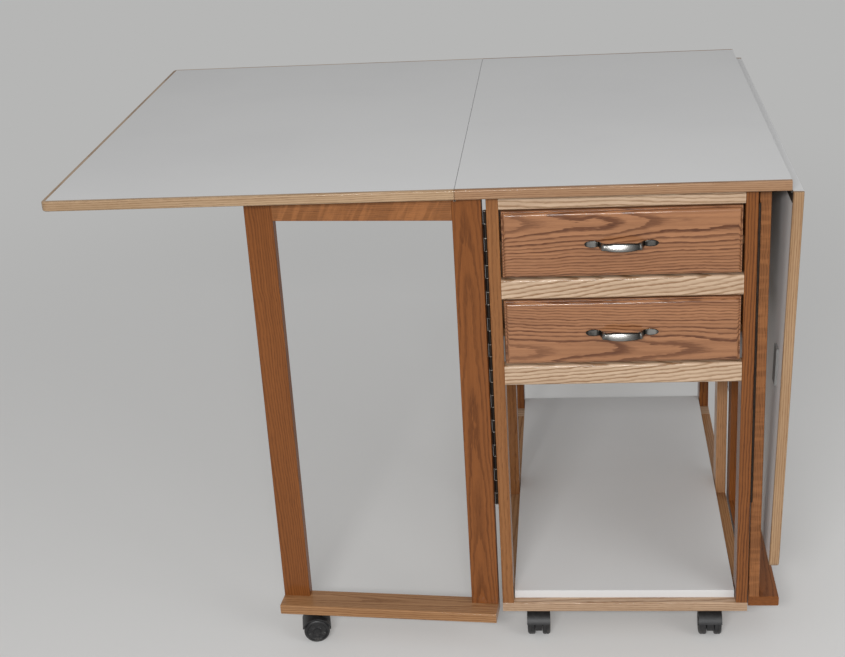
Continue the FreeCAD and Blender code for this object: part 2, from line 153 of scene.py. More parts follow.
class Shader:
    """A material's node tree, filled through one method."""

    def __init__(self, name: str) -> None:
        """Starts an empty material."""
        self.material = bpy.data.materials.new(name)
        self.material.use_nodes = True
        self.tree = self.material.node_tree
        self.tree.nodes.clear()

    def add(self, kind: str, settings: dict[str, object] | None = None,
            values: dict[str | int, object] | None = None, output: str | int = 0) -> Signal:
        """Adds a node.

        Args:
            kind: node type without its ShaderNode prefix.
            settings: node properties, set first.
            values: numbers, colours or Signals for its input sockets.
            output: the output that is returned.

        Returns:
            That output as a Signal.
        """
        node = self.tree.nodes.new("ShaderNode" + kind)
        for key, setting in (settings or {}).items():
            setattr(node, key, setting)
        for key, value in (values or {}).items():
            if isinstance(value, Signal):
                self.tree.links.new(value.socket, node.inputs[key])
            else:
                node.inputs[key].default_value = value
        return Signal(self, node.outputs[output])

    def point(self, place: Vector = Vector(), turn: Matrix = Matrix.Identity(3)) -> Signal:
        """Object coordinates seen from a frame of their own.

        Args:
            place: that frame's origin.
            turn: its axes, as columns.

        Returns:
            The point in that frame.
        """
        here = self.add("TexCoord", output="Object")
        return self.add("Mapping", {"vector_type": "TEXTURE"},
                        {"Vector": here, "Location": place, "Rotation": turn.to_euler("XYZ")})

    def shifted(self, point: Signal, by: tuple[float, float, float]) -> Signal:
        """Point moved by a constant."""
        return self.add("VectorMath", {"operation": "ADD"}, {0: point, 1: by})

    def noise(self, point: Signal, stretch: Stretch, detail: float) -> Signal:
        """Noise about 0.5.

        Args:
            point: where.
            stretch: waves per metre along each axis.
            detail: octaves.

        Returns:
            The noise, from 0 to 1.
        """
        scaled = self.add("VectorMath", {"operation": "MULTIPLY"}, {0: point, 1: stretch})
        return self.add("TexNoise", None, {"Vector": scaled, "Scale": 1.0, "Detail": detail})

    def chance(self, number: Signal) -> Signal:
        """Chance value from 0 to 1 that a whole number always gets."""
        return self.add("TexWhiteNoise", {"noise_dimensions": "1D"}, {"W": number})

    def split(self, point: Signal) -> tuple[Signal, Signal, Signal]:
        """The three coordinates of a point."""
        parts = self.add("SeparateXYZ", None, {0: point}, "X")
        return parts, parts.beside("Y"), parts.beside("Z")

    def join(self, x: Signal, y: Signal, z: Signal) -> Signal:
        """Point from three coordinates."""
        return self.add("CombineXYZ", None, {0: x, 1: y, 2: z})

    def shown(self) -> Signal:
        """1 on rays from the camera, a reflection or a clear piece, else 0."""
        rays = self.add("LightPath", output="Is Camera Ray")
        mirrored, through = rays.beside("Is Glossy Ray"), rays.beside("Is Transmission Ray")
        return rays.greater(mirrored).greater(through)

    def mix(self, factor: Signal, under: object, over: object) -> Signal:
        """Colour mix.

        Args:
            factor: share of the second colour.
            under: colour at 0.
            over: colour at 1.

        Returns:
            The mixed colour.
        """
        pair = [c if isinstance(c, Signal) else (*c, 1.0) for c in (under, over)]
        return self.add("Mix", {"data_type": "RGBA"}, {0: factor, 6: pair[0], 7: pair[1]}, 2)

    def finish(self, height: Signal, depth: float, values: dict[str, object]) -> bpy.types.Material:
        """Closes the material.

        Args:
            height: relief of the surface, from 0 to 1.
            depth: how deep that relief is, in metres.
            values: what the shader's own sockets get.

        Returns:
            The material.
        """
        normal = self.add("Bump", None, {"Height": height, "Distance": depth, "Strength": 1.0})
        surface = self.add("BsdfPrincipled", None, {"Normal": normal, **values})
        output = self.tree.nodes.new("ShaderNodeOutputMaterial")
        self.tree.links.new(surface.socket, output.inputs["Surface"])
        return self.material


@dataclass(frozen=True)
class Waves:
    """Noise of a finish: waves per metre on each axis, octaves, where it starts and is full."""

    stretch: Stretch
    detail: float = 1.0
    shows: Span = (0.0, 1.0)

    def at(self, point: Signal) -> Signal:
        """Noise about 0.5 at a point."""
        return point.shader.noise(point, self.stretch, self.detail)

    def swing(self, point: Signal) -> Signal:
        """Noise about 0 at a point."""
        return self.at(point) - 0.5

    def patches(self, point: Signal) -> Signal:
        """Noise as patches: 0 below where it starts to show, 1 above where it is full."""
        return self.at(point).rise(*self.shows)


def corners(node: str) -> np.ndarray:
    """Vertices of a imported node.

    Args:
        node: its name.

    Returns:
        Points, one a row.
    """
    mesh = frame["nodes"][node].data
    flat = np.zeros(len(mesh.vertices) * 3, np.float32)
    mesh.vertices.foreach_get("co", flat)
    return flat.reshape(-1, 3).astype(float)


def dress(node: str, material: bpy.types.Material) -> None:
    """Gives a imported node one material."""
    slots = frame["nodes"][node].data.materials
    slots.clear()
    slots.append(material)
    LOG.info("dressed %s with %s", node, material.name)


def joint_named(name: str) -> dict:
    """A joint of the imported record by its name."""
    return next(j for j in frame["joints"] if j["name"] == name)


def turn_from_limit(name: str) -> Matrix:
    """Turn of a joint's pieces from its upper limit, where they stand square, to rest."""
    joint = joint_named(name)
    return Matrix.Rotation(math.radians(-joint["range_deg"][1]), 3, Vector(joint["axis"]))


def add_object(name: str, data: bpy.types.ID) -> bpy.types.Object:
    """New object of the scene for a mesh, a lamp or a camera."""
    thing = bpy.data.objects.new(name, data)
    bpy.context.scene.collection.objects.link(thing)
    return thing


@dataclass
class Board:
    """One wooden node and the frame that its grain runs in: grain, width, thickness."""

    node: str
    turn: Matrix = field(default_factory=lambda: Matrix.Identity(3))
    grain: int | None = None
    size: np.ndarray = field(init=False)
    centre: Vector = field(init=False)
    axes: Matrix = field(init=False)

    def __post_init__(self) -> None:
        """Measures the board; the grain runs along its longest side or the one given."""
        own = np.array(self.turn)
        along = corners(self.node) @ own
        low, high = along.min(0), along.max(0)
        lengths = high - low
        if self.grain is not None:
            lengths[self.grain] += PAST_ANY_BOARD
        order = np.argsort(-lengths, kind="stable")
        self.size = (high - low)[order]
        self.centre = Vector(own @ ((low + high) / 2))
        columns = own[:, order]
        columns[:, 2] *= np.sign(np.linalg.det(columns))
        self.axes = Matrix(columns.tolist())

    def draws(self) -> np.random.Generator:
        """Chance numbers that this board always gets."""
        return np.random.default_rng(zlib.crc32(self.node.encode()))


@dataclass(frozen=True)
class Sawn:
    """How a board lies in its log, in metres from the board's middle, and its figure."""

    deep: float
    aside: float
    lean: float = 0.0
    taper: float = 0.03
    sway: float = 10.0 * MM
    scale: float = 1.0
    curl: float = 0.0


# A sawn board's least width in the log, greatest lean, taper and sway.
LEAST_WIDTH, MOST_LEAN, LOG_TAPER, LOG_SWAY = 30.0 * MM, 0.012, 0.016, 6.0 * MM


class Cut(Enum):
    """Ways to saw a board: the pith's least and greatest depth and side shift in board widths."""

    FLAT = (0.55, 0.9, 0.0, 0.3)
    RIFT = (0.8, 1.2, 0.9, 1.4)

    def sawn(self, board: Board, curl: float = 0.0) -> Sawn:
        """Place of one board in its log.

        Args:
            board: the board.
            curl: strength of the curly figure.

        Returns:
            Its place.
        """
        draws = board.draws()
        width = max(float(board.size[1]), LEAST_WIDTH)
        near, far, least, most = self.value
        side = float(draws.choice((-1.0, 1.0)))
        deep = width * float(draws.uniform(near, far))
        aside = side * width * float(draws.uniform(least, most))
        lean = float(draws.uniform(-MOST_LEAN, MOST_LEAN))
        taper = float(draws.choice((-LOG_TAPER, LOG_TAPER)))
        return Sawn(deep, aside, lean, taper, LOG_SWAY, 1.0, curl)


class Joinery(Enum):
    """How a node of several strips is put together."""

    MITRED = "three strips round a leaf"
    PAIRED = "two strips on opposite edges"
    BOXED = "sides, back and bottom of a box"


@dataclass(frozen=True)
class Strips:
    """A node of several strips, each with the grain along itself."""

    joinery: Joinery
    half_long: float
    half_wide: float
    side: float = 1.0

    def own(self, shader: Shader, point: Signal) -> Signal:
        """Place in the strip's own frame.

        Round a leaf, a point belongs to the strip whose outer edge is nearest; in a box, to a side
        where it is farther out than the inner width. Across is counted from the outer edge.

        Args:
            shader: the tree.
            point: place in the node's frame.

        Returns:
            The point with the strip's grain along x.
        """
        along, across, through = shader.split(point)
        if self.joinery is Joinery.PAIRED:
            return shader.join(along, self.half_wide - across.size(), through)
        if self.joinery is Joinery.BOXED:
            mask = across.size().below(self.half_wide)
            first, second = point, shader.join(across, along, through)
        else:
            to_side, to_end = self.half_long - along.size(), self.half_wide - across * self.side
            mask = to_side.below(to_end)
            first = shader.join(along, to_end, through)
            second = shader.join(across, to_side, through)
        return shader.add("Mix", {"data_type": "VECTOR"}, {0: mask, 4: first, 5: second}, 1)


class Figure:
    """Noise of the oak, the grain along its first axis, and strengths that all boards share."""

    SEEDS = (3.0, 40.0)
    BEND = Waves((4.0, 9.0, 9.0))
    BROAD_BEND = Waves((6.0, 12.0, 12.0))
    BENDS_APART = (7.0, 3.0, 5.0)
    WIGGLE = Waves((28.0, 36.0, 36.0), 2.0)
    RAGGED, RAGGED_BY = Waves((45.0, 420.0, 420.0), 2.0), 0.5
    # Shares of a ring where the early wood starts and fades, and its least strength.
    EARLY_STARTS, EARLY_FADES, EARLY_LEAST = (0.0, 0.1), (0.6, 0.2), 0.5
    PORES, LATE_PORES, PORES_DARK = Waves((60.0, 1500.0, 1500.0), 1.0, (0.52, 0.66)), 0.25, 0.55
    # Waves of the rays along the grain, round the pith and out from it.
    RAY_FAN = (42.0, 60.0, 70.0)
    RAYS, RAYS_LIT = Waves((1.0, 1.0, 1.0), 1.0, (0.64, 0.74)), 1.35
    STREAKS, STREAKS_DARK = Waves((3.0, 160.0, 160.0), 2.0, (0.35, 0.7)), 0.28
    CURL, CURL_SLANT, CURL_LIT = Waves((95.0, 14.0, 14.0), 2.0, (0.42, 0.66)), 0.45, 1.6
    TONE, TONE_DARK = Waves((2.5, 6.0, 6.0), 1.0, (0.25, 0.75)), 0.16
    # Edge patches that pale the wood: partly varnish rubbed thin, partly a painted edge highlight.
    WEAR, WEAR_PALE, WEAR_LIT = Waves((30.0, 90.0, 90.0), 3.0, (0.4, 0.7)), 0.25, 1.25
    SMEAR = Waves((14.0, 14.0, 14.0), 3.0)
    # What roughens the varnish, what thins it, and the pores' share of the relief.
    PORES_ROUGH, EARLY_ROUGH, SMEAR_ROUGH, WEAR_ROUGH = 0.2, 0.05, 0.12, 0.1
    WEAR_THIN, PORES_DEEP = 0.2, 0.75


@dataclass(frozen=True)
class Oak:
    """Varnished oak, as growth rings round a pith that lies outside the board.

    The dark, porous early wood of each ring starts sharply and fades; open pores run along the
    grain in it, and short rays cross the rings.
    """

    name: str
    pale: Colour
    dark: Colour
    pore: Colour
    ring: float = 4.2 * MM
    contrast: float = 0.9
    ray: float = 0.15
    coat: float = 0.3
    gloss: float = 0.36
    wiggle: float = 5.0 * MM
    wear: Span = (3.2 * MM, 0.6 * MM)
    pore_depth: float = 0.14 * MM

    def lit(self, by: float) -> Colour:
        """Pale colour, lighter by a factor."""
        return tuple(min(1.0, c * by) for c in self.pale)

    def grain(self, shader: Shader, point: Signal, board: Board,
              sawn: Sawn) -> tuple[Signal, Signal, Signal]:
        """Colour and relief of the wood.

        Radius from the pith is the root of the squares of the two distances across the grain, both
        bent by slow noise; its fraction over one ring width places early and late wood.

        Args:
            shader: the tree.
            point: place in the board's frame, grain along x.
            board: the board, for its chance numbers.
            sawn: how it lies in its log.

        Returns:
            Colour, early wood and pores.
        """
        seed = tuple(board.draws().uniform(*Figure.SEEDS, 3))
        seeded = shader.shifted(point, seed)
        along, across, through = shader.split(point)
        slow = Figure.BEND.swing(seeded)
        broad = Figure.BROAD_BEND.swing(shader.shifted(seeded, Figure.BENDS_APART))
        wiggle = Figure.WIGGLE.swing(seeded)
        sideways = across - sawn.aside + along * sawn.lean + slow * sawn.sway + wiggle * self.wiggle
        inward = through + sawn.deep + along * sawn.taper + broad * sawn.sway
        radius = (sideways * sideways + inward * inward).root()
        phase = radius / (self.ring * sawn.scale) + Figure.RAGGED.at(seeded) * Figure.RAGGED_BY
        band = phase.part()
        strength = Figure.EARLY_LEAST + (1.0 - Figure.EARLY_LEAST) * shader.chance(phase.whole())
        early = band.rise(*Figure.EARLY_STARTS) * band.rise(*Figure.EARLY_FADES) * strength
        open_share = Figure.LATE_PORES + (1.0 - Figure.LATE_PORES) * early
        pores = Figure.PORES.patches(seeded) * open_share
        endwise, turning, outward = Figure.RAY_FAN
        fan = shader.join(along * endwise + seed[0], sideways / inward * turning, radius * outward)
        colour = shader.mix(early * self.contrast, self.pale, self.dark)
        colour = shader.mix(Figure.STREAKS.patches(seeded) * Figure.STREAKS_DARK, colour, self.dark)
        colour = shader.mix(Figure.RAYS.patches(fan) * self.ray, colour, self.lit(Figure.RAYS_LIT))
        if sawn.curl:
            slant = shader.join(along + across * Figure.CURL_SLANT, across, through)
            bars = Figure.CURL.patches(shader.shifted(slant, seed))
            colour = shader.mix(bars * sawn.curl, colour, self.lit(Figure.CURL_LIT))
        return shader.mix(pores * Figure.PORES_DARK, colour, self.pore), early, pores

    def worn(self, shader: Shader, point: Signal, board: Board) -> Signal:
        """Wear that thins the varnish along the edges.

        The distance to an edge is the middle one of the distances to the three nearest faces.

        Args:
            shader: the tree.
            point: place in the board's frame.
            board: the board.

        Returns:
            Wear and painted edge highlight, from 0 to 1.
        """
        gaps = [float(s) / 2 - c.size() for s, c in zip(board.size, shader.split(point))]
        nearer = gaps[0].lesser(gaps[1])
        middle = nearer.greater(gaps[0].greater(gaps[1]).lesser(gaps[2]))
        return middle.rise(*self.wear) * Figure.WEAR.patches(point)

    def material(self, board: Board, sawn: Sawn,
                 strips: Strips | None = None) -> bpy.types.Material:
        """Material of one board.

        Args:
            board: the board.
            sawn: how it lies in its log.
            strips: how a node of several strips is put together.

        Returns:
            The material.
        """
        shader = Shader(f"{self.name}_{board.node}")
        point = shader.point(board.centre, board.axes)
        wood = strips.own(shader, point) if strips else point
        colour, early, pores = self.grain(shader, wood, board, sawn)
        worn = self.worn(shader, point, board)
        colour = shader.mix(Figure.TONE.patches(point) * Figure.TONE_DARK, colour, self.dark)
        # Paler along the edges: partly varnish rubbed thin, partly a painted highlight on the
        # edges.
        colour = shader.mix(worn * Figure.WEAR_PALE, colour, self.lit(Figure.WEAR_LIT))
        rough = self.gloss + pores * Figure.PORES_ROUGH + early * Figure.EARLY_ROUGH
        rough = rough + Figure.SMEAR.at(point) * Figure.SMEAR_ROUGH + worn * Figure.WEAR_ROUGH
        relief = 1.0 - pores * Figure.PORES_DEEP - early * (1.0 - Figure.PORES_DEEP)
        return shader.finish(relief, self.pore_depth, {
            "Base Color": colour, "Roughness": rough - Figure.SMEAR_ROUGH / 2,
            "Coat Weight": self.coat - worn * Figure.WEAR_THIN, "Coat Roughness": 0.1,
            "Specular IOR Level": 0.2})


@dataclass(frozen=True)
class Laminate:
    """White laminate with a fine suede relief, faint handling marks and a slightly grey tone."""

    name: str = "white_laminate"
    white: Colour = (0.79, 0.79, 0.787)
    shade: Colour = (0.75, 0.75, 0.75)
    clouds: Waves = Waves((3.0, 3.0, 3.0), 3.0, (0.3, 0.75))
    suede: Waves = Waves((900.0, 900.0, 900.0), 2.0)
    handling: Waves = Waves((70.0, 9.0, 40.0), 4.0, (0.62, 0.8))
    cloud_grey: float = 0.7
    mark_grey: float = 0.25
    rough: float = 0.6
    patch_rough: float = 0.04
    suede_rough: float = 0.08
    relief: float = 0.02 * MM

    def material(self) -> bpy.types.Material:
        """Material of the tops and the shelf."""
        shader = Shader(self.name)
        point = shader.point()
        cloud = self.clouds.patches(point)
        suede = self.suede.at(point)
        marks = self.handling.patches(point)
        grey = cloud * self.cloud_grey + marks * self.mark_grey
        rough = self.rough + cloud * self.patch_rough + suede * self.suede_rough
        return shader.finish(suede, self.relief, {
            "Base Color": shader.mix(grey, self.white, self.shade),
            "Roughness": rough - marks * self.patch_rough, "Specular IOR Level": 0.2})


@dataclass(frozen=True)
class Metal:
    """Plated metal, brushed one way, darker in patches where it is hardly touched and along its
    brush lines; a piece's shade attribute darkens it further as painted shade and dark reflection.
    """

    name: str
    bright: Colour
    film: Colour
    rough: float
    brush: Waves
    handling: Waves = Waves((60.0, 60.0, 60.0), 3.0, (0.42, 0.7))
    patch_film: float = 0.3
    line_film: float = 0.15
    patch_rough: float = 0.1
    line_rough: float = 0.12
    relief: float = 0.03 * MM

    def material(self) -> bpy.types.Material:
        """Material of a metal piece."""
        shader = Shader(self.name)
        point = shader.point()
        lines = self.brush.at(point)
        patch = self.handling.patches(point)
        # Painted shade and dark reflection from the piece's shade attribute; 0 on pieces without
        # it.
        shade = shader.add("Attribute", {"attribute_name": SHADE}, output="Fac")
        film = (shade + patch * self.patch_film + lines * self.line_film).lesser(1.0)
        rough = self.rough + lines * self.line_rough + patch * self.patch_rough
        return shader.finish(lines, self.relief, {
            "Base Color": shader.mix(film, self.bright, self.film), "Metallic": 1.0,
            "Roughness": rough})


@dataclass(frozen=True)
class Moulding:
    """Moulded nylon or rubber with a fine texture and floor dust where it rolls or lies low."""

    name: str
    plain: Colour = (0.014, 0.014, 0.015)
    dust: Colour = (0.11, 0.105, 0.1)
    rough: float = 0.42
    grain: Waves = Waves((1400.0, 1400.0, 1400.0), 2.0)
    clouds: Waves = Waves((120.0, 120.0, 120.0), 4.0, (0.42, 0.72))
    low: Span = (30.0 * MM, 4.0 * MM)
    dust_all_over: float = 0.12
    dust_low_down: float = 0.4
    dust_rough: float = 0.3
    grain_rough: float = 0.08
    relief: float = 0.05 * MM

    def material(self) -> bpy.types.Material:
        """Material of a moulded piece."""
        shader = Shader(self.name)
        point = shader.point()
        height = shader.split(point)[2]
        grain = self.grain.at(point)
        settled = self.dust_all_over + self.dust_low_down * height.rise(*self.low)
        dust = self.clouds.patches(point) * settled
        return shader.finish(grain, self.relief, {
            "Base Color": shader.mix(dust, self.plain, self.dust),
            "Roughness": self.rough + dust * self.dust_rough + grain * self.grain_rough})


@dataclass(frozen=True)
class Floor:
    """Pale studio floor, which takes light near the middle and is even to the eye beyond it."""

    name: str = "studio_floor"
    pale: Colour = (0.62, 0.616, 0.608)
    dull: Colour = (0.1, 0.1, 0.099)
    near: Colour = (0.14, 0.14, 0.138)
    glow: Colour = (0.42, 0.42, 0.415)
    lit_to: float = 0.8
    glow_from: float = 3.4
    clouds: Waves = Waves((1.2, 1.2, 1.2), 3.0)
    cloud_share: float = 0.25
    cloud_shade: float = 0.94
    relief: float = 0.1 * MM

    def material(self) -> bpy.types.Material:
        """Material of the floor; away from the middle its glow takes over from its colour."""
        shader = Shader(self.name)
        point = shader.point()
        cloud = self.clouds.at(point)
        darker = tuple(c * self.cloud_shade for c in self.pale)
        colour = shader.mix(cloud * self.cloud_share, self.pale, darker)
        away = shader.add("VectorMath", {"operation": "LENGTH"}, {0: point}, "Value")
        far = away.rise(self.lit_to, self.glow_from)
        glow = shader.mix(far, self.near, self.glow)
        return shader.finish(cloud, self.relief, {
            "Base Color": shader.mix(far, colour, self.dull), "Roughness": 0.9,
            "Specular IOR Level": 0.1, "Emission Strength": 1.0,
            "Emission Color": shader.mix(shader.shown(), (0.0, 0.0, 0.0), glow)})


RED_OAK = Oak("red_oak", (0.435, 0.2, 0.092), (0.12, 0.036, 0.01), (0.07, 0.021, 0.006),
              ring=4.2 * MM, contrast=1.0, coat=0.7)
FRAME_OAK = Oak("frame_oak", (0.27, 0.092, 0.021), (0.11, 0.031, 0.006), (0.07, 0.02, 0.004),
                ring=4.2 * MM, contrast=1.0, ray=0.25)
FLECKED_OAK = replace(FRAME_OAK, name="flecked_oak", pale=(0.325, 0.137, 0.046),
                      dark=(0.19, 0.068, 0.018), contrast=0.6, ray=0.7)
POST_OAK = replace(FRAME_OAK, name="post_oak", pale=(0.53, 0.29, 0.145), dark=(0.36, 0.175, 0.075),
                   contrast=0.6)
GATE_OAK = replace(FRAME_OAK, name="gate_oak", pale=(0.265, 0.089, 0.022),
                   dark=(0.13, 0.039, 0.008), ring=3.0 * MM, contrast=0.7, coat=0.2)
CURLY_OAK = replace(GATE_OAK, name="curly_oak", pale=(0.315, 0.127, 0.044),
                    dark=(0.18, 0.064, 0.019), ring=2.4 * MM)
FOOT_OAK = Oak("foot_oak", (0.44, 0.232, 0.105), (0.24, 0.105, 0.036), (0.14, 0.055, 0.018),
               ring=3.6 * MM)
LEAF_OAK = Oak("leaf_oak", (0.52, 0.36, 0.222), (0.3, 0.17, 0.08), (0.2, 0.1, 0.045),
               ring=3.8 * MM, contrast=0.75)
WARM_LEAF_OAK = replace(LEAF_OAK, name="warm_leaf_oak", pale=(0.47, 0.3, 0.17),
                        dark=(0.27, 0.14, 0.06))
STRAW_OAK = Oak("straw_oak", (0.66, 0.48, 0.33), (0.3, 0.165, 0.08), (0.2, 0.1, 0.045),
                ring=4.6 * MM, contrast=1.0, ray=0.1, coat=0.6)
BASE_OAK = Oak("base_oak", (0.57, 0.395, 0.265), (0.29, 0.16, 0.08), (0.18, 0.09, 0.04),
               ring=4.0 * MM)
BAND_OAK = Oak("band_oak", (0.43, 0.255, 0.145), (0.26, 0.13, 0.06), (0.17, 0.075, 0.03),
               ring=3.6 * MM, contrast=0.8)
BOX_WOOD = Oak("box_wood", (0.62, 0.46, 0.29), (0.48, 0.33, 0.18), (0.38, 0.24, 0.12),
               ring=6.0 * MM, contrast=0.5, coat=0.1, gloss=0.46)
# Runners far darker than the drawer boxes, so that their ends, seen through the gaps beside the
# drawer fronts, stay dark: a tone that stands in for shade.
RUNNER_WOOD = replace(BOX_WOOD, name="runner_wood", pale=(0.22, 0.11, 0.05),
                      dark=(0.13, 0.06, 0.025))
LAMINATE = Laminate()
# Nickel far darker than bare nickel, with a near-black dark tone: partly its satin finish, partly
# painted dark reflection and shade on the pulls.
NICKEL = Metal("satin_nickel", (0.4, 0.39, 0.37), (0.04, 0.037, 0.033), 0.18,
               Waves((60.0, 1600.0, 1600.0), 2.0))
# Hinge steel far darker than bare steel: partly its own dull tone, partly painted shade for hinges
# that sit in narrow gaps.
STEEL = Metal("hinge_steel", (0.075, 0.062, 0.053), (0.03, 0.024, 0.019), 0.5,
              Waves((900.0, 900.0, 120.0), 2.0))
# Bright rims on the knuckle ends: partly rubbed plating, partly a painted highlight where those
# ends catch light.
WORN_AND_GLINT_STEEL = replace(STEEL, name="worn_and_glint_steel", bright=(0.85, 0.78, 0.69),
                     film=(0.5, 0.44, 0.37), rough=0.4)
HOOD_NYLON = Moulding("hood_nylon")
WHEEL_NYLON = Moulding("wheel_nylon", rough=0.36)
# Grey pads, much darker than the white leaves, so that their lit faces match the shaded underside
# around them: a grey that stands in for shade.
REST_RUBBER = Moulding("rest_rubber", (0.24, 0.236, 0.23), (0.23, 0.225, 0.22), 0.7)


@dataclass
class Skin:
    """Points and faces of one or more closed surfaces, before they become a mesh."""

    points: np.ndarray
    quads: np.ndarray
    shade: np.ndarray | None = None

    @staticmethod
    def wrapped(rings: np.ndarray, shade: np.ndarray | None = None) -> "Skin":
        """Closed skin over rings of points.

        Neighbouring rings are joined by quads, the last point of a ring to its first; the first and
        the last ring shrink to their middle points, which close the ends.

        Args:
            rings: array of ring, point on the ring, coordinate.
            shade: how darkly each of these points is painted, mostly as shade and dark reflection,
                if any.

        Returns:
            The skin.
        """
        middles = [rings[i].mean(0, keepdims=True)[None] for i in (0, -1)]
        first, last = (np.repeat(middle, rings.shape[1], 1) for middle in middles)
        full = np.concatenate([first, rings, last])
        rows, around = full.shape[:2]
        index = np.arange(rows * around).reshape(rows, around)
        turn = np.roll(index, -1, 1)
        quads = np.stack([index[:-1], turn[:-1], turn[1:], index[1:]], -1).reshape(-1, 4)
        film = None if shade is None else np.concatenate([shade[:1], shade, shade[-1:]]).reshape(-1)
        return Skin(full.reshape(-1, 3), quads, film)

    @staticmethod
    def looped(rings: np.ndarray) -> "Skin":
        """Closed skin over rings whose last one joins the first.

        Args:
            rings: array of ring, point on the ring, coordinate.

        Returns:
            The skin.
        """
        rows, around = rings.shape[:2]
        index = np.arange(rows * around).reshape(rows, around)
        turn, over = np.roll(index, -1, 1), np.roll(index, -1, 0)
        quads = np.stack([index, turn, np.roll(turn, -1, 0), over], -1).reshape(-1, 4)
        return Skin(rings.reshape(-1, 3), quads)

    @staticmethod
    def joined(skins: list["Skin"]) -> "Skin":
        """Several skins as one.

        Args:
            skins: what to join.

        Returns:
            The joined skin.
        """
        starts = np.cumsum([0] + [len(s.points) for s in skins[:-1]])
        return Skin(np.concatenate([s.points for s in skins]),
                    np.concatenate([s.quads + n for s, n in zip(skins, starts)]))

    def placed(self, axes: np.ndarray, place: np.ndarray) -> "Skin":
        """Skin carried into a frame.

        Args:
            axes: the frame's axes, as columns.
            place: its origin.

        Returns:
            The placed skin.
        """
        return Skin(self.points @ axes.T + place, self.quads)

    def piece(self, name: str, material: bpy.types.Material, body: str,
              crease: float = 40.0) -> bpy.types.Object:
        """Mesh object of the skin, riding on a body.

        Args:
            name: the piece's name.
            material: its finish.
            body: the body that carries it.
            crease: angle in degrees above which an edge stays sharp.

        Returns:
            The object.
        """
        mesh = bpy.data.meshes.new(name)
        mesh.from_pydata(self.points, [], self.quads)
        mesh.polygons.foreach_set("use_smooth", np.ones(len(mesh.polygons), bool))
        if self.shade is not None:
            mesh.attributes.new(SHADE, "FLOAT", "POINT").data.foreach_set("value", self.shade)
        close_up(mesh)
        mesh.set_sharp_from_angle(angle=math.radians(crease))
        mesh.materials.append(material)
        thing = add_object(name, mesh)
        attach(thing, body)
        LOG.info("built %s on %s, %d faces", name, body, len(mesh.polygons))
        return thing


def close_up(mesh: bpy.types.Mesh) -> None:
    """Merges the points that meet at poles, and turns every face outwards.

    Args:
        mesh: the mesh to clean.
    """
    work = bmesh.new()
    work.from_mesh(mesh)
    bmesh.ops.remove_doubles(work, verts=work.verts, dist=SAME_POINT)
    bmesh.ops.dissolve_degenerate(work, edges=work.edges, dist=SLIVER)
    bmesh.ops.recalc_face_normals(work, faces=work.faces)
    work.to_mesh(mesh)
    work.free()
    mesh.update()


def ease(values: np.ndarray, low: float, high: float) -> np.ndarray:
    """Smooth step of an array from 0 at low to 1 at high."""
    share = np.clip((values - low) / (high - low), 0.0, 1.0)
    return share * share * (3.0 - 2.0 * share)


def circle(count: int) -> np.ndarray:
    """Angles of points evenly round a circle, as one row."""
    return np.linspace(0.0, 2.0 * np.pi, count, endpoint=False)[None, :]


def frame_of(outward: np.ndarray, along: np.ndarray) -> np.ndarray:
    """Axes with the third one outward.

    Args:
        outward: unit vector for the third axis.
        along: direction near the first axis.

    Returns:
        Axes as columns.
    """
    first = along - outward * (along @ outward)
    first = first / np.linalg.norm(first)
    return np.stack([first, np.cross(outward, first), outward], 1)


# Rings of a screw head: share of its radius; share of its height below the rim, or 1 on the crown.
SCREW_RINGS = ((1.0, -0.4), (1.0, 0.0), (0.86, 1.0), (0.62, 1.0), (0.3, 1.0))


@dataclass(frozen=True)
class ScrewHead:
    """Oval screw head with a cross recess, on the plane z = 0."""

    radius: float
    height: float
    recess: float = 0.55
    rim: float = 0.35
    around: int = 16
    arms: int = 4
    arm_walls: Span = (0.2, 0.9)
    arm_reach: float = 0.7
    hub: float = 0.4

    def skin(self) -> Skin:
        """Head as height over a polar grid.

        Height falls from the crown to the rim as one less the squared radius; four arms, where the
        cosine of four times the angle is high, sink in near the middle.

        Returns:
            The head's skin.
        """
        shares, lifts = np.array(SCREW_RINGS).T[:, :, None]
        crowned = lifts == 1.0
        angle = circle(self.around)
        cross = ease(np.cos(self.arms * angle), *self.arm_walls) * (shares < self.arm_reach)
        sunk = self.recess * np.clip(cross + (shares < self.hub), 0.0, 1.0) * crowned
        crown = np.where(crowned, self.rim + (1.0 - self.rim) * (1.0 - shares ** 2), lifts)
        rise = self.height * (crown - sunk)
        ring = self.radius * shares
        shape = np.broadcast_arrays(ring * np.cos(angle), ring * np.sin(angle), rise)
        return Skin.wrapped(np.stack(shape, -1))


@dataclass
class FlapScrews:
    """Row of screws in one flap of a long hinge, worked out from the flap's own points."""

    name: str
    body: str
    points: np.ndarray
    pin: np.ndarray
    pin_axis: np.ndarray
    head: ScrewHead
    pitch: float = 50.8 * MM
    reach_share: float = 0.62
    edge_share: float = 0.9

    def build(self, material: bpy.types.Material) -> bpy.types.Object:
        """Screws on the flap's open face.

        The flap runs from the pin to its farthest points; its open face is the one nearer to the
        plane of the pin.

        Args:
            material: the screws' finish.

        Returns:
            The piece.
        """
        local = self.points - self.pin
        height = local @ self.pin_axis
        flat = local - np.outer(height, self.pin_axis)
        reach = np.linalg.norm(flat, axis=1)
        far = reach > reach.max() * self.edge_share
        out = flat[far].mean(0)
        out = out / np.linalg.norm(out)
        normal = np.cross(self.pin_axis, out)
        levels = flat[far] @ normal
        run = (flat[far] @ out).max()
        tilt = flat[far][np.argmax(np.abs(levels))] @ normal
        facing = -normal * np.sign(tilt)
        level = np.abs(levels).min() * np.sign(tilt)
        count = max(2, int(round((height.max() - height.min()) / self.pitch)))
        step = (height.max() - height.min()) / count
        centres = height.min() + step * (np.arange(count) + 0.5)
        spots = self.pin + np.outer(centres, self.pin_axis)
        spots = spots + out * run * self.reach_share + normal * level
        axes = frame_of(facing, self.pin_axis)
        head = self.head.skin()
        skins = [head.placed(axes, spot) for spot in spots]
        return Skin.joined(skins).piece(self.name, material, self.body)


